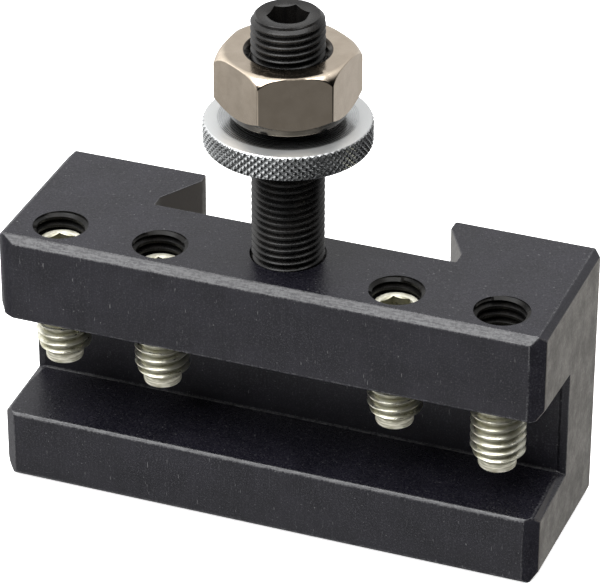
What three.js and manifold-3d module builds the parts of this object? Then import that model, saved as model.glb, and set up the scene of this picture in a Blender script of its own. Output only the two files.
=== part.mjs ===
// Turning and facing tool holder for a dovetail quick change tool post.
// The steel block hangs on the post by the dovetail groove in its back. A lathe tool lies in the
// slot along its front and is clamped by four set screws. A threaded stud carries the knurled
// height nut, which rests on top of the post and sets the tool's height, and its lock nut.
//
// Millimetres. The origin is the middle of the block's base. +X runs along the block, +Y towards
// the tool post (the dovetail side) and +Z up.

import * as THREE from 'three';
import { mergeVertices } from 'three/addons/utils/BufferGeometryUtils.js';
import Module from 'manifold-3d';

// ---------------------------------------------------------------- driving dimensions

const block = {
  length: 77.9,
  depth: 25.8,
  height: 38.5,
  frontEndChamfer: 1.9, // upright edges at both ends of the front face
  endChamfer: 1.0, // every other edge of the two end faces
  topFrontChamfer: 1.05,
  baseFrontChamfer: 0.75,
  backChamfer: 0.2,
};

const slot = {
  floor: 10.4,
  ceiling: 25.6,
  depth: 12.85,
  mouthChamfer: 0.35,
};

const dovetail = {
  depth: 10.4,
  mouthHalfWidth: 18.2,
  rootHalfWidth: 21.75,
  tipLength: 2.1, // straight part of each tip, square to the back face
  flankAngle: 30, // degrees from the depth direction
};

const layout = {
  screwRowFromFront: 5.65,
  studFromFront: 9.7,
  innerScrew: 16.85,
  outerScrew: 31.45,
};

const screw = {
  radius: 3.8,
  length: 18.05,
  tipRadius: 2.6,
  tipLength: 1.3,
  endTaper: 1.05,
  topChamfer: 0.5,
  socketAcrossFlats: 4,
  socketDepth: 4.5,
  tipHeights: [17.95, 17.25, 18.3, 14.8], // how far each tip is screwed down, left to right
};

const tappedHole = {
  radius: 4.05,
  mouthChamfer: 0.35,
};

const stud = {
  radius: 4.92,
  bottom: 27.6,
  top: 74.2,
  chamfer: 0.7,
  holeRadius: 5.17,
  holeBottom: 27.0,
  socketAcrossFlats: 5,
  socketDepth: 5.5,
};

const heightNut = {
  radius: 11.3,
  bottom: 55.55,
  thickness: 3.7,
  chamfer: 0.3,
};

const lockNut = {
  acrossFlats: 17,
  bottom: 60.3,
  thickness: 8.75,
  collarHeight: 1.05, // round bearing face under the hexagon
  collarRadius: 8.05,
  cornerAngle: -92.8, // degrees from +X to one corner
  cornerDrop: 0.75, // how far the turned bevel drops at each corner
  washerRadius: 8.1,
};

const nutBore = {
  radius: 5.17,
  mouthRadius: 5.75,
};

const coarse = 48; // sides of small round shapes
const fine = 72; // sides of the height nut

// ---------------------------------------------------------------- materials

const steel = (color, roughness, metalness = 1) =>
  new THREE.MeshStandardMaterial({ color, roughness, metalness });
const materials = {
  block: steel(0x37373a, 0.5, 0.6),
  stud: steel(0x242426, 0.42, 0.8),
  screws: steel(0xc9c6b8, 0.28),
  heightNut: steel(0xc4c6c9, 0.3),
  lockNut: steel(0xb9ab98, 0.2),
};

// ---------------------------------------------------------------- solids and booleans

const wasm = await Module();
wasm.setup();

function toSolid(geometry) {
  const bare = geometry.index ? geometry.toNonIndexed() : geometry.clone();
  bare.deleteAttribute('normal');
  bare.deleteAttribute('uv');
  const merged = mergeVertices(bare, 1e-4);
  const mesh = new wasm.Mesh({
    numProp: 3,
    vertProperties: new Float32Array(merged.attributes.position.array),
    triVerts: new Uint32Array(merged.index.array),
  });
  return new wasm.Manifold(mesh);
}

function toGeometry(solid) {
  const mesh = solid.getMesh();
  const geometry = new THREE.BufferGeometry();
  geometry.setAttribute('position', new THREE.BufferAttribute(mesh.vertProperties, 3));
  geometry.setIndex(new THREE.BufferAttribute(mesh.triVerts, 1));
  geometry.computeVertexNormals();
  return geometry;
}

function polygon(points) {
  return new THREE.Shape(points.map(([x, y]) => new THREE.Vector2(x, y)));
}

function mirrored(points) {
  const opposite = points.map(([x, y]) => [-x, y]).reverse();
  return [...points, ...opposite];
}

// A closed profile of [radius, height] points, turned about +Z.
function turned(profile, sides) {
  const points = profile.map(([radius, height]) => new THREE.Vector2(radius, height));
  const closed = profile[0][0] > 0 ? [...points, points[0]] : points;
  const geometry = new THREE.LatheGeometry(closed, sides);
  geometry.rotateX(Math.PI / 2);
  return geometry;
}

function hexagon(acrossFlats, cornerAngle) {
  const cornerRadius = acrossFlats / Math.sqrt(3);
  const corners = [0, 1, 2, 3, 4, 5].map((corner) => {
    const angle = THREE.MathUtils.degToRad(cornerAngle + 60 * corner);
    return [cornerRadius * Math.cos(angle), cornerRadius * Math.sin(angle)];
  });
  return polygon(corners);
}

function prism(shape, bottom, top) {
  const geometry = new THREE.ExtrudeGeometry(shape, { depth: top - bottom, bevelEnabled: false });
  geometry.translate(0, 0, bottom);
  return toSolid(geometry);
}

// ---------------------------------------------------------------- the block

// Seen from above: the front corners are cut off and the dovetail groove opens at the back.
function blockPlan() {
  const end = block.length / 2;
  const front = -block.depth / 2;
  const back = block.depth / 2;
  const grooveFloor = back - dovetail.depth;
  const tipEnd = back - dovetail.tipLength;
  const flankRun = dovetail.rootHalfWidth - dovetail.mouthHalfWidth;
  const flankEnd = tipEnd - flankRun / Math.tan(THREE.MathUtils.degToRad(dovetail.flankAngle));
  const rightHalf = [
    [end - block.frontEndChamfer, front],
    [end, front + block.frontEndChamfer],
    [end, back],
    [dovetail.mouthHalfWidth, back],
    [dovetail.mouthHalfWidth, tipEnd],
    [dovetail.rootHalfWidth, flankEnd],
    [dovetail.rootHalfWidth, grooveFloor],
  ];
  return prism(polygon(mirrored(rightHalf)), 0, block.height);
}

// Turns an outline drawn in the YZ plane into a bar along X, its ends tapered in by a chamfer.
function barAlongX(outline, endChamfer) {
  const geometry = new THREE.ExtrudeGeometry(polygon(outline), {
    depth: block.length - 2 * endChamfer,
    bevelEnabled: endChamfer > 0,
    bevelThickness: endChamfer,
    bevelSize: endChamfer,
    bevelOffset: -endChamfer,
    bevelSegments: 1,
  });
  geometry.translate(0, 0, endChamfer - block.length / 2);
  const alongX = new THREE.Matrix4().makeBasis(
    new THREE.Vector3(0, 1, 0),
    new THREE.Vector3(0, 0, 1),
    new THREE.Vector3(1, 0, 0),
  );
  geometry.applyMatrix4(alongX);
  return toSolid(geometry);
}

// Seen from the end: a C with the tool slot open to the front. The first bar has the chamfer
// round its end faces and the second one the small chamfers along its edges.
function blockProfile() {
  const front = -block.depth / 2;
  const back = block.depth / 2;
  const slotWall = front + slot.depth;
  const squareEdged = [
    [front, 0],
    [back, 0],
    [back, block.height],
    [front, block.height],
    [front, slot.ceiling],
    [slotWall, slot.ceiling],
    [slotWall, slot.floor],
    [front, slot.floor],
  ];
  const edgesChamfered = [
    [front + block.baseFrontChamfer, 0],
    [back - block.backChamfer, 0],
    [back, block.backChamfer],
    [back, block.height - block.backChamfer],
    [back - block.backChamfer, block.height],
    [front + block.topFrontChamfer, block.height],
    [front, block.height - block.topFrontChamfer],
    [front, slot.ceiling + slot.mouthChamfer],
    [front + slot.mouthChamfer, slot.ceiling],
    [slotWall, slot.ceiling],
    [slotWall, slot.floor],
    [front + slot.mouthChamfer, slot.floor],
    [front, slot.floor - slot.mouthChamfer],
    [front, block.baseFrontChamfer],
  ];
  return barAlongX(squareEdged, block.endChamfer).intersect(barAlongX(edgesChamfered, 0));
}

// A tapped hole from the top face down to a given height, with a chamfered mouth.
function holeCutter(radius, mouthChamfer, bottom) {
  const past = 1;
  return toSolid(
    turned(
      [
        [0, bottom],
        [radius, bottom],
        [radius, block.height - mouthChamfer],
        [radius + mouthChamfer + past, block.height + past],
        [0, block.height + past],
      ],
      coarse,
    ),
  );
}

const screwY = layout.screwRowFromFront - block.depth / 2;
const studY = layout.studFromFront - block.depth / 2;
const screwXs = [-layout.outerScrew, -layout.innerScrew, layout.innerScrew, layout.outerScrew];

function holderBody() {
  let solid = blockPlan().intersect(blockProfile());
  const intoSlot = (slot.floor + slot.ceiling) / 2;
  const screwHole = holeCutter(tappedHole.radius, tappedHole.mouthChamfer, intoSlot);
  for (const x of screwXs) {
    solid = solid.subtract(screwHole.translate([x, screwY, 0]));
  }
  const studHole = holeCutter(stud.holeRadius, tappedHole.mouthChamfer, stud.holeBottom);
  return solid.subtract(studHole.translate([0, studY, 0]));
}

// ---------------------------------------------------------------- screws, stud and nuts

// A set screw standing on its flat tip, with a hexagon socket in its top.
function setScrew() {
  const tipChamfer = 0.25;
  const shank = toSolid(
    turned(
      [
        [0, 0],
        [screw.tipRadius - tipChamfer, 0],
        [screw.tipRadius, tipChamfer],
        [screw.tipRadius, screw.tipLength],
        [screw.radius, screw.tipLength + screw.endTaper],
        [screw.radius, screw.length - screw.topChamfer],
        [screw.radius - screw.topChamfer, screw.length],
        [0, screw.length],
      ],
      coarse,
    ),
  );
  const socket = hexagon(screw.socketAcrossFlats, 0);
  return shank.subtract(prism(socket, screw.length - screw.socketDepth, screw.length + 1));
}

function heightStud() {
  const shank = toSolid(
    turned(
      [
        [0, stud.bottom],
        [stud.radius - stud.chamfer, stud.bottom],
        [stud.radius, stud.bottom + stud.chamfer],
        [stud.radius, stud.top - stud.chamfer],
        [stud.radius - stud.chamfer, stud.top],
        [0, stud.top],
      ],
      coarse,
    ),
  );
  const socket = hexagon(stud.socketAcrossFlats, 30);
  return shank.subtract(prism(socket, stud.top - stud.socketDepth, stud.top + 1));
}

// The round of a nut's bore with a chamfer at each face, closed as a ring profile.
function nutRing(outerRadius, bottom, top, outerChamfer) {
  const mouthDepth = nutBore.mouthRadius - nutBore.radius;
  return [
    [nutBore.mouthRadius, bottom],
    [outerRadius - outerChamfer.run, bottom],
    [outerRadius, bottom + outerChamfer.rise],
    [outerRadius, top - outerChamfer.rise],
    [outerRadius - outerChamfer.run, top],
    [nutBore.mouthRadius, top],
    [nutBore.radius, top - mouthDepth],
    [nutBore.radius, bottom + mouthDepth],
  ];
}

function knurledHeightNut() {
  const top = heightNut.bottom + heightNut.thickness;
  const rim = { run: heightNut.chamfer, rise: heightNut.chamfer };
  return toSolid(turned(nutRing(heightNut.radius, heightNut.bottom, top, rim), fine));
}

function hexLockNut() {
  const top = lockNut.bottom + lockNut.thickness;
  const cornerRadius = lockNut.acrossFlats / Math.sqrt(3);
  const underside = lockNut.bottom + lockNut.collarHeight;
  const bevel = { run: cornerRadius - lockNut.washerRadius, rise: lockNut.cornerDrop };
  const round = toSolid(turned(nutRing(cornerRadius, underside, top, bevel), fine));
  const hexagonal = prism(hexagon(lockNut.acrossFlats, lockNut.cornerAngle), underside, top);
  const collarEdge = { run: 0.15, rise: 0.15 };
  const overlap = 1.5;
  const collarRing = nutRing(lockNut.collarRadius, lockNut.bottom, underside + overlap, collarEdge);
  return round.intersect(hexagonal).add(toSolid(turned(collarRing, fine)));
}

// ---------------------------------------------------------------- the assembly

function piece(name, solid, material, x = 0, y = 0, z = 0) {
  const mesh = new THREE.Mesh(toGeometry(solid), material);
  mesh.name = name;
  mesh.position.set(x, y, z);
  return mesh;
}

const group = new THREE.Group();
group.add(piece('holder_body', holderBody(), materials.block));

const screwSolid = setScrew();
screwXs.forEach((x, index) => {
  const name = `set_screw_${index + 1}`;
  group.add(piece(name, screwSolid, materials.screws, x, screwY, screw.tipHeights[index]));
});

const column = new THREE.Group();
column.position.set(0, studY, 0);
column.add(piece('height_stud', heightStud(), materials.stud));
column.add(piece('height_nut', knurledHeightNut(), materials.heightNut));
column.add(piece('lock_nut', hexLockNut(), materials.lockNut));
group.add(column);

export default group;
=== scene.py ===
import math

import bmesh
import bpy
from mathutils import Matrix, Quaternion, Vector


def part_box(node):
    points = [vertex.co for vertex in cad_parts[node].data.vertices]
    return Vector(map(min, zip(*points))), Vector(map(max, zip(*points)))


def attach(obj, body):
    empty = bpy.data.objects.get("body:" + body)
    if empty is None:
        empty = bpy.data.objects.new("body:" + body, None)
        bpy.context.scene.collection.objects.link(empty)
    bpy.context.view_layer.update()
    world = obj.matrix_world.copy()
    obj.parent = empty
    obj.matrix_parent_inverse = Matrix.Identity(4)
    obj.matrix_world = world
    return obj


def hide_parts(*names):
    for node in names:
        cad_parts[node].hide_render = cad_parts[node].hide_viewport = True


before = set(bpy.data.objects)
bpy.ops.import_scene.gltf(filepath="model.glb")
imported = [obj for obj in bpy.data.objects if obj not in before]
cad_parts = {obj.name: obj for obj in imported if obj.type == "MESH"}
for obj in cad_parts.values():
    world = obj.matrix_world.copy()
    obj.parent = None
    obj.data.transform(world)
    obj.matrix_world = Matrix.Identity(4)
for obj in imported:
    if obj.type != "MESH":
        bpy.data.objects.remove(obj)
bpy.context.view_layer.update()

MM = 0.001
TURN = math.tau
THREAD_FLANK = math.radians(30)


# ---------------------------------------------------------------- sizes, in millimetres


def round_node(name):
    """Middle, bottom, top and radius of a CAD node that is round about an upright axis."""
    low, high = (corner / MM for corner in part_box(name))
    middle = (low + high) / 2
    return middle.x, middle.y, low.z, high.z, (high.x - low.x) / 2


block_low, block_high = (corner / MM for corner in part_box("holder_body"))
BLOCK_TOP = block_high.z
BLOCK_FRONT = block_low.y
BLOCK_BACK = block_high.y
BLOCK_END = block_high.x

FRONT_END_CHAMFER = 1.9
END_CHAMFER = 1.0
TOP_FRONT_CHAMFER = 1.05
BASE_FRONT_CHAMFER = 0.75
BACK_CHAMFER = 0.2

SLOT_FLOOR = 10.4
SLOT_CEILING = 25.6
SLOT_DEPTH = 12.85
SLOT_MOUTH_CHAMFER = 0.35
SLOT_FILLET = 0.45

DOVETAIL_DEPTH = 10.4
DOVETAIL_MOUTH = 18.2
DOVETAIL_ROOT = 21.75
DOVETAIL_TIP = 2.1
DOVETAIL_FLANK = math.radians(30)

SCREW_HOLE_MOUTH = 3.8
STUD_HOLE_MOUTH = 5.2
STUD_HOLE_BOTTOM = 27.0


# ---------------------------------------------------------------- rings and threads


class Thread:
    """A 60 degree thread, by its pitch and its widest and narrowest radius."""

    def __init__(self, pitch, outer, inner, flat, soft=0.0):
        run = (outer - inner) * math.tan(THREAD_FLANK)
        half = flat / 2
        middle = (outer + inner) / 2
        along = soft * math.sin(THREAD_FLANK)
        down = soft * math.cos(THREAD_FLANK)
        self.pitch = pitch
        self.outer = outer
        self.inner = inner
        self.steps = [
            (-half + soft, outer),
            (half - soft, outer),
            (half + along, outer - down),
            (half + run / 2, middle),
            (half + run, inner),
            (pitch - half - run, inner),
            (pitch - half - run / 2, middle),
            (pitch - half - along, outer - down),
        ]


def angles_round(sides, start=0.0):
    return [start + TURN * side / sides for side in range(sides)]


def valued(value, angle):
    return value(angle) if callable(value) else value


def ring(bm, angles, radius, height):
    """A loop of points. Radius and height are numbers or functions of the angle."""
    points = []
    for angle in angles:
        r = valued(radius, angle)
        z = valued(height, angle)
        points.append(bm.verts.new(Vector((r * math.cos(angle), r * math.sin(angle), z)) * MM))
    return points


def bridge(bm, first, second):
    count = len(first)
    for side in range(count):
        after = (side + 1) % count
        bm.faces.new((first[side], first[after], second[after], second[side]))


def stack(bm, rings):
    for first, second in zip(rings, rings[1:]):
        bridge(bm, first, second)


def fan(bm, loop, height):
    """Closes a loop with a shallow cone."""
    apex = bm.verts.new(Vector((0, 0, height)) * MM)
    for side, point in enumerate(loop):
        bm.faces.new((point, loop[(side + 1) % len(loop)], apex))


def thread_wall(bm, thread, phase, low, high, angles, limit):
    """The wall of a thread, in rows that climb with the helix so that its crest is a clean edge.

    limit(radius, height) trims the thread to the tapers at its ends, where every row meets the rim.
    Returns the lowest and the highest rim.
    """
    near = 0.02
    low_rim = ring(bm, angles, limit(thread.outer, low), low)
    high_rim = ring(bm, angles, limit(thread.outer, high), high)
    first = math.floor((low - phase) / thread.pitch) - 2
    last = math.ceil((high - phase) / thread.pitch) + 2
    columns = []
    for side, angle in enumerate(angles):
        column = []
        for turn in range(first, last):
            for offset, radius in thread.steps:
                height = phase + thread.pitch * (turn + angle / TURN) + offset
                if height < low + near:
                    column.append(low_rim[side])
                elif height > high - near:
                    column.append(high_rim[side])
                else:
                    column += ring(bm, [angle], limit(radius, height), height)
        columns.append(column)
    columns.append(columns[0][len(thread.steps):])
    for here, after in zip(columns, columns[1:]):
        for row in range(len(after) - 1):
            corners = dict.fromkeys((here[row], after[row], after[row + 1], here[row + 1]))
            if len(corners) > 2:
                bm.faces.new(corners)
    return low_rim, high_rim


def hexagon_radius(across_flats, corner_angle):
    def radius(angle):
        off_flat = (angle - corner_angle) % (TURN / 6) - TURN / 12
        return across_flats / 2 / math.cos(off_flat)

    return radius


def hex_socket(bm, rim, angles, across_flats, corner_angle, top, depth):
    """A hexagon socket from a round rim down, with a coned mouth and a drilled bottom."""
    cone = 0.6
    mouth_play = 0.1
    drill_play = 0.12
    wall = hexagon_radius(across_flats, corner_angle)
    mouth = across_flats / math.sqrt(3) + mouth_play
    drill = across_flats / 2 - drill_play
    rings = [
        rim,
        ring(bm, angles, mouth, top),
        ring(bm, angles, wall, lambda angle: top - cone * (mouth - wall(angle))),
        ring(bm, angles, wall, top - depth),
        ring(bm, angles, drill, top - depth),
    ]
    stack(bm, rings)
    fan(bm, rings[-1], top - depth - cone * drill)


def finished(bm, name, materials, place=(0, 0, 0), sharp=35):
    """The object of a closed mesh, smooth but for the edges sharper than an angle in degrees."""
    bmesh.ops.recalc_face_normals(bm, faces=bm.faces)
    mesh = bpy.data.meshes.new(name)
    bm.to_mesh(mesh)
    bm.free()
    for material in materials:
        mesh.materials.append(material)
    piece = bpy.data.objects.new(name, mesh)
    piece.location = Vector(place) * MM
    bpy.context.scene.collection.objects.link(piece)
    smooth(piece, sharp)
    return piece


def smooth(piece, sharp):
    piece.data.shade_smooth()
    piece.data.set_sharp_from_angle(angle=math.radians(sharp))


def weigh_normals(piece):
    modifier = piece.modifiers.new("flat_faces", "WEIGHTED_NORMAL")
    modifier.keep_sharp = True


def bake_modifiers(piece):
    """Replaces a piece's mesh by what its modifiers make of it."""
    bpy.context.view_layer.update()
    made = piece.evaluated_get(bpy.context.evaluated_depsgraph_get())
    mesh = bpy.data.meshes.new_from_object(made)
    piece.modifiers.clear()
    piece.data = mesh


def combine(piece, tool, operation):
    """Joins or cuts a piece with a tool, whose faces keep the tool's material."""
    modifier = piece.modifiers.new("combine", "BOOLEAN")
    modifier.material_mode = "TRANSFER" if tool.data.materials else "INDEX"
    modifier.operation = operation
    modifier.solver = "EXACT"
    modifier.object = tool
    bake_modifiers(piece)
    bpy.data.objects.remove(tool)


def round_edges(piece, width, segments, material, limit=30):
    """Rounds the edges sharper than a limit in degrees, with a material of their own."""
    modifier = piece.modifiers.new("edges", "BEVEL")
    modifier.width = width * MM
    modifier.segments = segments
    modifier.limit_method = "ANGLE"
    modifier.angle_limit = math.radians(limit)
    modifier.use_clamp_overlap = False
    modifier.material = material
    modifier.miter_outer = "MITER_ARC"


# ---------------------------------------------------------------- screws and stud

SCREW_THREAD = Thread(pitch=1.25, outer=3.76, inner=3.1, flat=0.16, soft=0.04)
TAPPED_THREAD = Thread(pitch=1.25, outer=3.9, inner=3.3, flat=0.2)
STUD_THREAD = Thread(pitch=1.0, outer=4.92, inner=4.33, flat=0.13, soft=0.03)
NUT_THREAD = Thread(pitch=1.0, outer=5.06, inner=4.45, flat=0.12)


def set_screw(name, node, materials):
    x, y, bottom, top, _ = round_node(node)
    length = top - bottom
    tip_radius = 2.6
    tip_length = 1.3
    tip_chamfer = 0.25
    tip_round = 0.3 * tip_chamfer
    rim_radius = 3.05
    angles = angles_round(72)

    def taper(r, z):
        return min(r, tip_radius + (z - tip_length), rim_radius + (length - z))

    bm = bmesh.new()
    low, high = thread_wall(bm, SCREW_THREAD, 0, tip_length, length, angles, taper)
    tip = [
        low,
        ring(bm, angles, tip_radius, tip_chamfer),
        ring(bm, angles, tip_radius - tip_round, tip_round),
        ring(bm, angles, tip_radius - tip_chamfer, 0),
    ]
    stack(bm, tip)
    bm.faces.new(tip[-1])
    hex_socket(bm, high, angles, across_flats=4.0, corner_angle=0.0, top=length, depth=4.5)
    return finished(bm, name, materials, (x, y, bottom))


def height_stud(name, node, materials):
    x, y, bottom, top, _ = round_node(node)
    length = top - bottom
    rim_radius = 4.2
    angles = angles_round(96)

    def taper(r, z):
        return min(r, rim_radius + z, rim_radius + (length - z))

    bm = bmesh.new()
    low, high = thread_wall(bm, STUD_THREAD, 0, 0, length, angles, taper)
    bm.faces.new(low)
    corner_angle = math.radians(30)
    hex_socket(bm, high, angles, across_flats=5.0, corner_angle=corner_angle, top=length, depth=5.5)
    return finished(bm, name, materials, (x, y, bottom))


# ---------------------------------------------------------------- nuts

NUT_MOUTH = 5.75
STUD_BOTTOM = round_node("height_stud")[2]


def nut_bore(bm, bottom, thickness, angles):
    """The threaded bore of a nut on the stud, in step with the stud's own thread."""

    def mouths(r, z):
        return max(r, NUT_MOUTH - z, NUT_MOUTH - (thickness - z))

    return thread_wall(bm, NUT_THREAD, STUD_BOTTOM - bottom, 0, thickness, angles, mouths)


def knurled_nut(name, node, materials):
    x, y, bottom, top, radius = round_node(node)
    thickness = top - bottom
    diamonds = 72
    steps = 10
    groove = 0.26
    steepness = 1.2
    chamfer = 0.32
    rim = angles_round(diamonds * steps)
    pitch = TURN * radius / diamonds
    rows = 36
    crown_radius = 8.75
    shoulder = thickness - 0.25

    def wave(turns):
        return abs(2 * (turns % 1) - 1)

    def knurl(angle, z):
        round_about = diamonds * angle / TURN
        along = z / pitch
        ridge = min(wave(round_about + along), wave(round_about - along))
        return groove * (1 - min(1, steepness * ridge))

    bm = bmesh.new()
    low, high = nut_bore(bm, bottom, thickness, angles_round(diamonds))

    def edge(z):
        return radius - max(0, chamfer - z, chamfer - (shoulder - z))

    rings = []
    for row in range(rows + 1):
        z = shoulder * row / rows
        rings.append(ring(bm, rim, lambda angle: min(edge(z), radius - knurl(angle, z)), z))
    stack(bm, rings)
    crown = ring(bm, angles_round(diamonds), crown_radius, thickness)
    bridge(bm, high, crown)
    for inner, outer in ((low, rings[0]), (crown, rings[-1])):
        for side in range(diamonds):
            after = (side + 1) % diamonds
            rim_part = [outer[(side * steps + step) % len(outer)] for step in range(steps + 1)]
            bm.faces.new([inner[after], inner[side]] + rim_part)
    return finished(bm, name, materials, (x, y, bottom), sharp=30)


def worn_hexagon(across_flats, corner_angle):
    """The radius of a hexagon whose corners are a little rounded."""
    crispness = 150

    def radius(angle):
        total = 0
        for flat in range(6):
            towards = math.cos(angle - corner_angle - TURN * (flat + 0.5) / 6)
            total += max(0, towards) ** crispness
        return across_flats / 2 * total ** (-1 / crispness)

    return radius


def hex_nut(name, node, materials):
    x, y, bottom, top, _ = round_node(node)
    thickness = top - bottom
    across_flats = 17.0
    corner_angle = math.radians(-92.8)
    collar_radius = 7.9
    collar_edge = 0.1
    collar_height = 1.05
    collar_top_radius = 8.2
    base_radius = 8.45
    base_slope = 0.84
    washer_radius = 8.1
    corner_reach = 1.715
    top_slope = 0.15
    corner_drop = 1.3
    edge = 0.09
    near_corner = (0, 0.4, 0.9, 1.5, 2.5)
    along_flat = (5, 10, 16, 23, 30, 37, 44, 50, 55)
    before_corner = (57.5, 58.5, 59.1, 59.6)
    angles = []
    for flat in range(6):
        for degrees in near_corner + along_flat + before_corner:
            angles.append(corner_angle + math.radians(60 * flat + degrees))
    side = worn_hexagon(across_flats, corner_angle)

    def top_drop(r):
        out = max(0, r - washer_radius)
        return top_slope * out + corner_drop * (out / corner_reach) ** 3

    def base_rise(angle):
        return collar_height + base_slope * max(0, side(angle) - base_radius)

    def dome(share):
        def reach(angle):
            return washer_radius + share * (side(angle) - edge - washer_radius)

        return ring(bm, angles, reach, lambda angle: thickness - top_drop(reach(angle)))

    bm = bmesh.new()
    low, high = nut_bore(bm, bottom, thickness, angles)
    rings = [
        low,
        ring(bm, angles, collar_radius - 0.12, 0),
        ring(bm, angles, collar_radius, collar_edge),
        ring(bm, angles, collar_top_radius, collar_height),
        ring(bm, angles, lambda angle: side(angle) - edge, lambda angle: base_rise(angle) + 0.02),
        ring(bm, angles, side, lambda angle: base_rise(angle) + edge),
        ring(bm, angles, side, lambda angle: thickness - top_drop(side(angle)) - edge),
        *[dome(share) for share in (1, 0.93, 0.84, 0.72, 0.56, 0.3, 0)],
        high,
    ]
    stack(bm, rings)
    return finished(bm, name, materials, (x, y, bottom))


# ---------------------------------------------------------------- the block


def prism(name, layers):
    """A solid through outlines of equal length, each given as a list of points in space."""
    bm = bmesh.new()
    loops = [[bm.verts.new(Vector(point) * MM) for point in layer] for layer in layers]
    bm.faces.new(loops[0])
    bm.faces.new(loops[-1])
    stack(bm, loops)
    return finished(bm, name, [])


def arc(centre, radii, start, end, steps=4):
    """Points of an arc from one angle to another, in degrees."""
    points = []
    for step in range(steps + 1):
        angle = math.radians(start + (end - start) * step / steps)
        points.append((centre[0] + radii[0] * math.cos(angle), centre[1] + radii[1] * math.sin(angle)))
    return points


def upright(name, outline, low, high):
    """A solid of one plan between two heights."""
    return prism(name, [[(x, y, z) for x, y in outline] for z in (low, high)])


def block_plan():
    """The block from above: its front corners cut off and the dovetail groove in its back."""
    past = 1.0
    clear = 0.03
    cut = FRONT_END_CHAMFER
    groove_floor = BLOCK_BACK - DOVETAIL_DEPTH
    tip_end = BLOCK_BACK - DOVETAIL_TIP
    flank_end = tip_end - (DOVETAIL_ROOT - DOVETAIL_MOUTH) / math.tan(DOVETAIL_FLANK)
    corner = 1.0
    tip = 0.6
    right = [
        (BLOCK_END - cut - past, BLOCK_FRONT - past),
        (BLOCK_END + past, BLOCK_FRONT + cut + past),
        (BLOCK_END + past, BLOCK_BACK - corner),
        *arc((BLOCK_END - corner, BLOCK_BACK - corner), (corner + clear, corner + clear), 0, 90),
        (BLOCK_END - corner, BLOCK_BACK + past),
        (DOVETAIL_MOUTH + tip, BLOCK_BACK + past),
        *arc((DOVETAIL_MOUTH + tip, BLOCK_BACK - tip), (tip, tip + clear), 90, 180, 3),
        (DOVETAIL_MOUTH, tip_end),
        (DOVETAIL_ROOT, flank_end),
        (DOVETAIL_ROOT, groove_floor),
    ]
    points = right + [(-x, y) for x, y in reversed(right)]
    return upright("plan", points, -past, BLOCK_TOP + past)


def worn_corner():
    """The wider second facet on the upper jaw's left front corner."""
    past = 0.6
    reach = 2.9
    low = (-BLOCK_END + reach + 2 * past, BLOCK_FRONT - past)
    far = (-BLOCK_END - 1, BLOCK_FRONT + (reach + 1) / 2)
    return upright("facet", [low, far, (far[0], low[1])], SLOT_CEILING - 1, BLOCK_TOP + 1)


def chamfered_bar():
    """The block from the end: a C with the tool slot open to the front and its edges broken."""
    past = 1.0
    wall = BLOCK_FRONT + SLOT_DEPTH
    mouth = BLOCK_FRONT + SLOT_MOUTH_CHAMFER
    inside = wall - SLOT_FILLET
    fillet = (SLOT_FILLET, SLOT_FILLET)
    outline = [
        (BLOCK_FRONT + BASE_FRONT_CHAMFER, 0),
        (BLOCK_BACK - BACK_CHAMFER, 0),
        (BLOCK_BACK, BACK_CHAMFER),
        (BLOCK_BACK, BLOCK_TOP - BACK_CHAMFER),
        (BLOCK_BACK - BACK_CHAMFER, BLOCK_TOP),
        (BLOCK_FRONT + TOP_FRONT_CHAMFER, BLOCK_TOP),
        (BLOCK_FRONT, BLOCK_TOP - TOP_FRONT_CHAMFER),
        (BLOCK_FRONT, SLOT_CEILING + SLOT_MOUTH_CHAMFER),
        (mouth, SLOT_CEILING),
        *arc((inside, SLOT_CEILING - SLOT_FILLET), fillet, 90, 0),
        *arc((inside, SLOT_FLOOR + SLOT_FILLET), fillet, 0, -90),
        (mouth, SLOT_FLOOR),
        (BLOCK_FRONT, SLOT_FLOOR - SLOT_MOUTH_CHAMFER),
        (BLOCK_FRONT, BASE_FRONT_CHAMFER),
    ]
    ends = [[(x, y, z) for y, z in outline] for x in (-BLOCK_END - past, BLOCK_END + past)]
    return prism("bar", ends)


def end_bevels():
    """A bar a little larger than the block's, with the bevels round its end faces."""
    past = 0.5
    wall = BLOCK_FRONT + SLOT_DEPTH
    edge = END_CHAMFER
    corners = [
        ((BLOCK_FRONT, 0), (edge, 1.5)),
        ((BLOCK_BACK, 0), (-edge, edge)),
        ((BLOCK_BACK, BLOCK_TOP), (-0.7, -edge)),
        ((BLOCK_FRONT, BLOCK_TOP), (edge, -edge)),
        ((BLOCK_FRONT, SLOT_CEILING), (edge, 1.4)),
        ((wall, SLOT_CEILING), (0.1, 0.5)),
        ((wall, SLOT_FLOOR), (0.1, -0.35)),
        ((BLOCK_FRONT, SLOT_FLOOR), (edge, -1.1)),
    ]
    inner = BLOCK_END - edge - past
    layers = []
    for x, share in ((-BLOCK_END, 1), (-inner, -past / edge), (inner, -past / edge), (BLOCK_END, 1)):
        layers.append([(x, y + share * run, z + share * rise) for (y, z), (run, rise) in corners])
    return prism("ends", layers)


def rounded_front():
    """The block from the front, with its bottom corners rounded."""
    past = 1.0
    clear = 0.03
    left_corner = 2.2
    right_corner = 1.2

    def left_side(corner):
        reach = corner + clear
        return [
            (-BLOCK_END - past, BLOCK_TOP + past),
            (-BLOCK_END - past, corner),
            *arc((-BLOCK_END + corner, corner), (reach, reach), 180, 270, 6),
            (-BLOCK_END + corner, -past),
        ]

    outline = left_side(left_corner) + [(-x, z) for x, z in reversed(left_side(right_corner))]
    ends = [[(x, y, z) for x, z in outline] for y in (BLOCK_FRONT - past, BLOCK_BACK + past)]
    return prism("front", ends)


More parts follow.
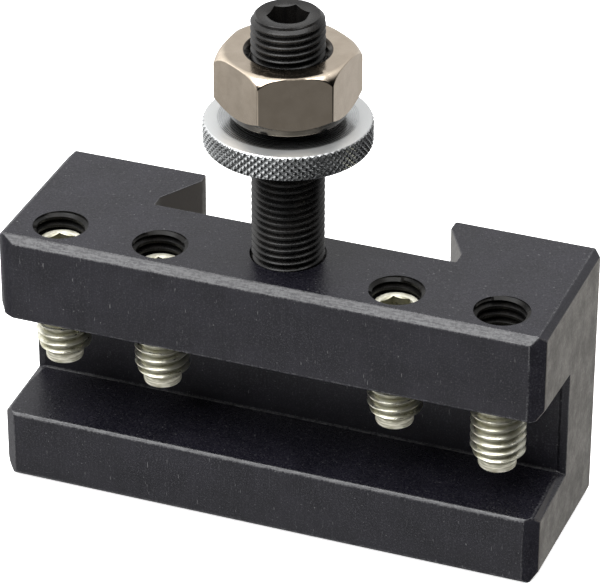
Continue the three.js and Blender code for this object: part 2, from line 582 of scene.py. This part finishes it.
def hole_cutter(thread, x, y, phase, bottom, mouth_radius, through, material):
    """A tapped hole down from the top face, coned at its mouth and where it breaks through."""
    past = 0.4
    lip = 0.3
    drill_slope = 0.8
    seam = math.radians(-69)
    top = BLOCK_TOP + past
    angles = angles_round(72, seam)

    def mouths(r, z):
        deep = mouth_radius + max(0, BLOCK_TOP - lip - z)
        lower = mouth_radius + (bottom - z) if through else 0
        upper = mouth_radius if z > BLOCK_TOP - lip else 0
        return max(min(r, deep), upper, lower)

    low = bottom - past if through else bottom
    bm = bmesh.new()
    if through:
        low_rim, high_rim = thread_wall(bm, thread, phase, low, top, angles, mouths)
    else:

        def blind(r, z):
            return min(mouths(r, z), thread.inner + (z - low) * drill_slope)

        low_rim, high_rim = thread_wall(bm, thread, phase, low, top, angles, blind)
    bm.faces.new(low_rim)
    bm.faces.new(high_rim)
    return finished(bm, "hole", [material], (x, y, 0))


def holder_block(name, materials, hole_material):
    """The block, with its second material on its worn edges and a third in its tapped holes."""
    edge_radius = 0.14
    piece = chamfered_bar()
    piece.name = name
    combine(piece, end_bevels(), "INTERSECT")
    combine(piece, block_plan(), "INTERSECT")
    combine(piece, rounded_front(), "INTERSECT")
    combine(piece, worn_corner(), "DIFFERENCE")
    for material in materials:
        piece.data.materials.append(material)
    round_edges(piece, edge_radius, 2, material=1)
    bake_modifiers(piece)
    for number in range(1, 5):
        x, y, bottom, _, _ = round_node(f"set_screw_{number}")
        hole = hole_cutter(
            TAPPED_THREAD, x, y, bottom, SLOT_CEILING, SCREW_HOLE_MOUTH, True, hole_material
        )
        combine(piece, hole, "DIFFERENCE")
    x, y, bottom, _, _ = round_node("height_stud")
    hole = hole_cutter(
        NUT_THREAD, x, y, bottom, STUD_HOLE_BOTTOM, STUD_HOLE_MOUTH, False, hole_material
    )
    combine(piece, hole, "DIFFERENCE")
    smooth(piece, 35)
    weigh_normals(piece)
    return piece


# ---------------------------------------------------------------- materials


class Look:
    """A material made of nodes. Its patterns are laid out in millimetres on the piece."""

    def __init__(self, name):
        self.material = bpy.data.materials.new(name)
        self.material.use_nodes = True
        self.tree = self.material.node_tree
        self.shader = self.tree.nodes["Principled BSDF"]
        geometry = self.add("ShaderNodeNewGeometry")
        coordinates = self.add("ShaderNodeTexCoord")
        self.place = self.vector("SCALE", coordinates.outputs["Object"], Scale=1 / MM)
        parts = self.add("ShaderNodeSeparateXYZ", Vector=geometry.outputs["True Normal"])
        self.normal = [parts.outputs[axis] for axis in "XYZ"]

    def add(self, kind, settings=None, **inputs):
        node = self.tree.nodes.new(kind)
        for key, value in (settings or {}).items():
            setattr(node, key, value)
        for key, value in inputs.items():
            self.feed(node.inputs[key], value)
        return node

    def feed(self, socket, value):
        if isinstance(value, bpy.types.NodeSocket):
            self.tree.links.new(value, socket)
        else:
            socket.default_value = value

    def set(self, **values):
        for key, value in values.items():
            self.feed(self.shader.inputs[key.replace("_", " ")], value)

    def vector(self, operation, first, second=None, **inputs):
        """Arithmetic on vectors."""
        node = self.add("ShaderNodeVectorMath", {"operation": operation}, **inputs)
        self.feed(node.inputs[0], first)
        if second is not None:
            self.feed(node.inputs[1], second)
        return node.outputs["Vector"]

    def sum(self, operation, first, second=0.0, third=0.0):
        """Arithmetic on numbers."""
        node = self.add("ShaderNodeMath", {"operation": operation})
        for socket, value in zip(node.inputs, (first, second, third)):
            self.feed(socket, value)
        return node.outputs[0]

    def noise(self, scale, detail=2.0, rough=0.5, shift=(0, 0, 0)):
        """Noise from 0 to 1. Scale is in features per millimetre along each axis."""
        place = self.vector("ADD", self.vector("MULTIPLY", self.place, scale), shift)
        node = self.add("ShaderNodeTexNoise", Vector=place, Scale=1.0, Detail=detail, Roughness=rough)
        return node.outputs[0]

    def ramp(self, value, low, high, start=0.0, end=1.0):
        """Goes smoothly from start to end while a value goes from low to high."""
        node = self.add("ShaderNodeMapRange", {"interpolation_type": "SMOOTHSTEP"}, Value=value)
        for key, number in zip(("From Min", "From Max", "To Min", "To Max"), (low, high, start, end)):
            self.feed(node.inputs[key], number)
        return node.outputs[0]

    def mix(self, share, first, second):
        """A mix of two colours, each a socket or (red, green, blue)."""
        node = self.add("ShaderNodeMix", {"data_type": "RGBA"})
        self.feed(node.inputs["Factor"], share)
        for socket, value in zip(node.inputs[6:8], (first, second)):
            self.feed(socket, (*value, 1) if isinstance(value, tuple) else value)
        return node.outputs[2]

    def blend(self, share, first, second):
        """A mix of two numbers."""
        node = self.add("ShaderNodeMix", {"data_type": "FLOAT"})
        for socket, value in zip(node.inputs[:4], (share, None, first, second)):
            if value is not None:
                self.feed(socket, value)
        return node.outputs[0]

    def away(self):
        """Distance from the piece's upright axis."""
        node = self.add("ShaderNodeVectorMath", {"operation": "LENGTH"})
        self.feed(node.inputs[0], self.vector("MULTIPLY", self.place, (1, 1, 0)))
        return node.outputs["Value"]

    def height(self):
        """Height above the piece's bottom."""
        return self.add("ShaderNodeSeparateXYZ", Vector=self.place).outputs["Z"]

    def facing(self, axis):
        """1 where the surface faces along an axis, either way."""
        return self.ramp(self.sum("ABSOLUTE", self.normal[axis]), 0.88, 0.95)

    def bump(self, height, depth):
        node = self.add("ShaderNodeBump", Height=height, Distance=depth * MM)
        self.feed(self.shader.inputs["Normal"], node.outputs["Normal"])


def oxide_look(name, wear):
    """Black oxide on ground and milled steel. Wear is how far it is rubbed through."""
    look = Look(name)
    front = look.facing(1)
    flat = look.facing(2)
    end = look.facing(0)
    slope = look.sum("SUBTRACT", 1.0, look.sum("ADD", look.sum("ADD", front, flat), end))
    slope = look.sum("MAXIMUM", slope, 0.0)

    # the bevels that face up and the flanks of the dovetail
    up = look.ramp(look.normal[2], 0.4, 0.6)
    flank = look.sum("SUBTRACT", look.ramp(look.sum("ABSOLUTE", look.normal[0]), 0.78, 0.84), end)
    flank = look.sum("MULTIPLY", flank, slope)

    # patterns: grain, blotches in the painted light on the ends, and nicks and scratches
    upright = look.noise((3.6, 3.6, 0.22), 3.0, 0.6)
    lengthwise = look.noise((0.6, 5, 5), 3.0, 0.6, (2, 5, 8))
    fine = look.noise((4.5, 4.5, 4.5), 4.0, 0.7)
    grit = look.noise((2.4, 2.4, 2.4), 3.0, 0.7, (8, 8, 3))
    cloud = look.noise((0.16, 0.16, 0.16), 4.0, 0.6)
    blotch = look.noise((0.3, 0.3, 0.24), 5.0, 0.66, (7, 3, 1))
    speck = look.ramp(look.noise((3.1, 3.1, 3.1), 1.0, 0.4, (3, 9, 5)), 0.72, 0.79)
    scratch = look.ramp(look.noise((6, 6, 0.7), 1.0, 0.4, (1, 4, 2)), 0.755, 0.81)
    scuff = look.ramp(look.noise((0.25, 1.6, 5.5), 1.0, 0.4, (6, 2, 9)), 0.7, 0.8)
    marks = look.sum("MULTIPLY", look.sum("MAXIMUM", speck, scratch), look.sum("ADD", front, flat))
    marks = look.sum("ADD", marks, look.sum("MULTIPLY", scuff, end))

    dark = (0.0034, 0.0032, 0.0062)
    light = (0.0076, 0.0070, 0.0118)
    colour = look.mix(look.ramp(cloud, 0.3, 0.7), dark, light)
    grain = look.blend(look.sum("MULTIPLY", front, 0.12), fine, upright)
    grain_light = (0.036, 0.035, 0.042)
    colour = look.mix(look.ramp(grain, 0.5, 0.62, 0.0, 0.6), colour, grain_light)
    # painted light: the end faces are painted lighter and warmer, in blotches, for the light they
    # catch
    painted_end_light_low = (0.084, 0.077, 0.067)
    painted_end_light_high = (0.116, 0.107, 0.092)
    painted_end_light = look.mix(look.ramp(blotch, 0.38, 0.64), painted_end_light_low, painted_end_light_high)
    painted_end_light_grit = (0.05, 0.046, 0.04)
    painted_end_light = look.mix(look.ramp(grit, 0.35, 0.7, 0.0, 0.35), painted_end_light, painted_end_light_grit)
    colour = look.mix(end, colour, painted_end_light)
    flank_brown = (0.075, 0.066, 0.057)
    colour = look.mix(flank, colour, flank_brown)
    # brushed streaks on the bevels, painted lighter only where the bevels face up: real brushing with
    # a painted highlight
    brushed_and_highlight = look.sum("MULTIPLY", look.sum("ADD", lengthwise, grit), 0.5)
    upper_bevel = look.sum("MULTIPLY", slope, up)
    brushed_and_highlight = look.sum("MULTIPLY", look.ramp(brushed_and_highlight, 0.38, 0.6, 0.2, 1.0), upper_bevel)
    sideways = look.ramp(look.sum("ABSOLUTE", look.normal[0]), 0.3, 0.5)
    brushed_and_highlight = look.sum("MULTIPLY", brushed_and_highlight, look.sum("SUBTRACT", 1.0, sideways))
    brushed_highlight_colour = (0.10, 0.10, 0.103)
    colour = look.mix(brushed_and_highlight, colour, brushed_highlight_colour)
    bare_mark = (0.2, 0.2, 0.2)
    colour = look.mix(look.sum("MULTIPLY", marks, 0.45), colour, bare_mark)
    rubbed = look.sum("MULTIPLY_ADD", fine, 0.5, look.sum("MULTIPLY", upright, 0.5))
    rubbed = look.ramp(rubbed, 0.42, 0.62)
    bare_steel = (0.22, 0.22, 0.225)
    colour = look.mix(look.sum("MULTIPLY", rubbed, wear), colour, bare_steel)

    rough = look.blend(flat, 0.40, 0.29)
    rough = look.blend(slope, rough, look.blend(up, 0.36, 0.48))
    rough = look.blend(end, rough, look.ramp(blotch, 0.35, 0.65, 0.6, 0.45))
    rough = look.sum("ADD", rough, look.ramp(grit, 0.3, 0.7, -0.06, 0.06))
    look.set(Base_Color=colour, Roughness=rough, Metallic=look.sum("MULTIPLY", rubbed, wear))

    grain = look.sum("ADD", fine, look.sum("MULTIPLY", grit, 1.5))
    height = look.blend(front, grain, look.sum("MULTIPLY_ADD", upright, 0.6, grain))
    height = look.blend(slope, height, look.sum("MULTIPLY_ADD", grit, 1.5, lengthwise))
    height = look.blend(end, height, look.sum("MULTIPLY_ADD", blotch, 3.0, grain))
    look.bump(height, 0.016)
    return look.material


def thread_oxide(name, gloss):
    """Oily black oxide on a thread."""
    look = Look(name)
    fine = look.noise((5, 5, 5), 3.0, 0.6)
    patch = look.noise((0.5, 0.5, 0.25), 3.0, 0.6)
    black = (0.005, 0.005, 0.005)
    brown = (0.012, 0.011, 0.010)
    colour = look.mix(look.ramp(patch, 0.35, 0.7), black, brown)
    rough = look.ramp(fine, 0.3, 0.7, 0.2, 0.34)
    look.set(Base_Color=colour, Roughness=rough, Specular_IOR_Level=gloss)
    look.bump(fine, 0.012)
    return look.material


def screw_look():
    """Zinc plate, olive on the threads with painted shade in the thread roots, and turned lines on the
    tip and the head.
    """
    look = Look("screw_plate")
    fine = look.noise((6, 6, 6), 3.0, 0.6)
    turned = look.noise((0.5, 0.5, 3.4), 2.0, 0.7, (4, 4, 4))
    patch = look.noise((0.8, 0.8, 0.5), 3.0, 0.6)
    height = look.height()
    clean = look.sum("ADD", look.ramp(height, 1.2, 1.5, 1.0, 0.0), look.ramp(height, 17.9, 18.02))
    zinc = (0.82, 0.81, 0.70)
    olive_zinc = (0.66, 0.64, 0.49)
    plated = look.mix(look.ramp(patch, 0.35, 0.7), zinc, olive_zinc)
    # painted shade: the thread roots are painted dark for the shade in the grooves
    root = look.ramp(look.away(), 3.15, 3.55, 1.0, 0.0)
    painted_root_shade = (0.20, 0.19, 0.12)
    plated = look.mix(look.sum("MULTIPLY", root, 0.6), plated, painted_root_shade)
    turned_light = (0.86, 0.84, 0.72)
    turned_dark = (0.42, 0.40, 0.30)
    turned_face = look.mix(look.ramp(turned, 0.35, 0.65), turned_light, turned_dark)
    thread_rough = look.ramp(turned, 0.3, 0.7, 0.26, 0.4)
    turned_rough = look.ramp(fine, 0.3, 0.7, 0.42, 0.55)
    rough = look.blend(clean, thread_rough, turned_rough)
    metal = look.blend(clean, 0.92, 0.62)
    look.set(Base_Color=look.mix(clean, plated, turned_face), Metallic=metal, Roughness=rough)
    look.bump(look.sum("ADD", fine, turned), 0.008)
    return look.material


def satin_look():
    """Turned steel, its marks running round the axis, with a brighter frosted rim on top."""
    look = Look("turned_steel")
    one_way = {"noise_dimensions": "1D"}
    rings = look.add("ShaderNodeTexNoise", one_way, Scale=6.0, Detail=3.0, Roughness=0.6)
    look.feed(rings.inputs["W"], look.away())
    fine = look.noise((6, 6, 6), 2.0, 0.6)
    patch = look.noise((0.4, 0.4, 0.4), 3.0, 0.6, (5, 1, 8))
    turned = look.blend(look.facing(2), fine, rings.outputs[0])
    steel_dark = (0.56, 0.575, 0.58)
    steel_light = (0.68, 0.695, 0.70)
    frosted = (0.66, 0.67, 0.67)
    colour = look.mix(look.ramp(patch, 0.3, 0.7), steel_dark, steel_light)
    upwards = look.ramp(look.normal[2], 0.6, 0.8)
    rim = look.sum("MULTIPLY", look.ramp(look.away(), 9.0, 9.6), upwards)
    colour = look.mix(rim, colour, frosted)
    rough = look.sum("MULTIPLY_ADD", rim, 0.15, look.ramp(turned, 0.3, 0.7, 0.2, 0.3))
    look.set(Base_Color=colour, Metallic=look.blend(rim, 1.0, 0.85), Roughness=rough)
    look.bump(turned, 0.004)
    return look.material


def nickel_look():
    """Warm nickel plate, with painted shade in the bore, on the faces underneath and round the collar.
    """
    look = Look("nickel_plate")
    fine = look.noise((6, 6, 6), 3.0, 0.6)
    orange_peel = look.noise((0.5, 0.5, 0.5), 2.0, 0.5)
    nickel_dark = (0.61, 0.52, 0.415)
    nickel_light = (0.67, 0.575, 0.465)
    colour = look.mix(look.ramp(orange_peel, 0.3, 0.7), nickel_dark, nickel_light)
    # painted shade: the bore, the downward faces and the collar are painted near black for the shade
    # that falls there
    bore = look.ramp(look.away(), 5.8, 5.95, 1.0, 0.0)
    under = look.ramp(look.normal[2], -0.4, -0.15, 1.0, 0.0)
    low = look.ramp(look.height(), 1.08, 1.13, 1.0, 0.0)
    collar = look.sum("MULTIPLY", low, look.ramp(look.height(), 0.1, 0.14))
    shade = look.sum("MAXIMUM", bore, look.sum("MAXIMUM", under, collar))
    painted_shade_colour = (0.035, 0.030, 0.024)
    colour = look.mix(shade, colour, painted_shade_colour)
    look.set(Base_Color=colour, Metallic=1.0, Roughness=look.ramp(fine, 0.3, 0.7, 0.13, 0.2))
    look.bump(look.sum("MULTIPLY_ADD", fine, 0.15, orange_peel), 0.01)
    return look.material


# ---------------------------------------------------------------- the pieces


def fit_out(piece, node):
    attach(piece, node)
    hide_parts(node)


block_looks = [oxide_look("black_oxide", wear=0.0), oxide_look("rubbed_oxide", wear=0.35)]
block = holder_block("holder_block", block_looks, thread_oxide("tapped_oxide", gloss=0.14))
fit_out(block, "holder_body")

screw_material = screw_look()
for number in range(1, 5):
    screw = set_screw(f"clamp_screw_{number}", f"set_screw_{number}", [screw_material])
    fit_out(screw, f"set_screw_{number}")

stud = height_stud("threaded_stud", "height_stud", [thread_oxide("stud_oxide", gloss=0.3)])
fit_out(stud, "height_stud")

rim_nut = knurled_nut("knurled_height_nut", "height_nut", [satin_look()])
fit_out(rim_nut, "height_nut")

top_nut = hex_nut("hex_lock_nut", "lock_nut", [nickel_look()])
weigh_normals(top_nut)
fit_out(top_nut, "lock_nut")


# ---------------------------------------------------------------- floor, light and camera


def studio_floor():
    """A wide white floor that glows a little, to fade the shadows, and stays out of reflections."""
    half_width = 4
    bm = bmesh.new()
    bmesh.ops.create_grid(bm, x_segments=1, y_segments=1, size=half_width)
    look = Look("pale_floor")
    look.set(Base_Color=(0.97, 0.97, 0.97, 1), Roughness=0.9, Specular_IOR_Level=0.0)
    look.set(Emission_Color=(1.0, 1.0, 1.0, 1), Emission_Strength=0.7)
    floor = finished(bm, "floor", [look.material])
    floor.visible_glossy = False


def softbox(name, direction, distance, size, power):
    """A square lamp in a direction from the block, facing it."""
    data = bpy.data.lights.new(name, "AREA")
    data.size = size
    data.energy = power
    lamp = bpy.data.objects.new(name, data)
    towards = Vector(direction).normalized()
    middle = Vector((0, 0, 0.03))
    lamp.location = middle + towards * distance
    lamp.rotation_mode = "QUATERNION"
    lamp.rotation_quaternion = towards.to_track_quat("Z", "Y")
    bpy.context.scene.collection.objects.link(lamp)


def studio_world(lobes):
    """A dark surround with soft lights, each (direction, half width in degrees, strength)."""
    world = bpy.data.worlds.new("studio")
    bpy.context.scene.world = world
    world.use_nodes = True
    tree = world.node_tree
    background = tree.nodes["Background"]
    direction = tree.nodes.new("ShaderNodeTexCoord").outputs["Generated"]
    total = 0.0
    for towards, spread, strength in lobes:
        dot = tree.nodes.new("ShaderNodeVectorMath")
        dot.operation = "DOT_PRODUCT"
        tree.links.new(direction, dot.inputs[0])
        dot.inputs[1].default_value = Vector(towards).normalized()
        lobe = tree.nodes.new("ShaderNodeMapRange")
        lobe.interpolation_type = "SMOOTHSTEP"
        lobe.inputs["From Min"].default_value = math.cos(math.radians(spread))
        lobe.inputs["From Max"].default_value = 1.0
        lobe.inputs["To Max"].default_value = strength
        tree.links.new(dot.outputs["Value"], lobe.inputs["Value"])
        add = tree.nodes.new("ShaderNodeMath")
        tree.links.new(lobe.outputs[0], add.inputs[0])
        if isinstance(total, bpy.types.NodeSocket):
            tree.links.new(total, add.inputs[1])
        else:
            add.inputs[1].default_value = total
        total = add.outputs[0]
    tree.links.new(total, background.inputs["Color"])


def camera_at(target, distance, azimuth, elevation, roll, lens):
    """A camera round a point in millimetres, its angles in degrees."""
    around = math.radians(azimuth)
    above = math.radians(elevation)
    back = Vector(
        (
            math.sin(around) * math.cos(above),
            -math.cos(around) * math.cos(above),
            math.sin(above),
        )
    )
    data = bpy.data.cameras.new("camera")
    data.lens = lens
    data.sensor_width = 36
    data.clip_start = 0.05
    data.clip_end = 20
    camera = bpy.data.objects.new("camera", data)
    camera.location = (Vector(target) + back * distance) * MM
    camera.rotation_mode = "QUATERNION"
    level = back.to_track_quat("Z", "Y")
    camera.rotation_quaternion = Quaternion(back, math.radians(roll)) @ level
    bpy.context.scene.collection.objects.link(camera)
    bpy.context.scene.camera = camera


studio_floor()
softbox("key", (-0.29, -0.52, 0.80), distance=0.6, size=0.4, power=2.3)
softbox("overhead", (0.1, -0.1, 1.0), distance=0.9, size=0.9, power=8.5)
studio_world(
    [
        ((0, 1, 0.3), 70, 0.72),
        ((-1, 0, 0.4), 60, 1.6),
        ((-0.85, 0.1, -0.45), 55, 0.15),
        ((-0.54, 0.67, -0.51), 35, 0.6),
        ((0, 0, 1), 60, 0.9),
        ((-0.29, -0.80, -0.52), 35, 0.68),
        ((0.38, 0.78, -0.5), 45, 0.3),
        ((0.44, -0.73, -0.52), 40, 0.19),
    ],
)
camera_at(
    target=(2.376, -4.984, 33.938),
    distance=513.9,
    azimuth=20.819,
    elevation=30.777,
    roll=0.09,
    lens=230.5,
)
bpy.context.scene.view_settings.view_transform = "Standard"
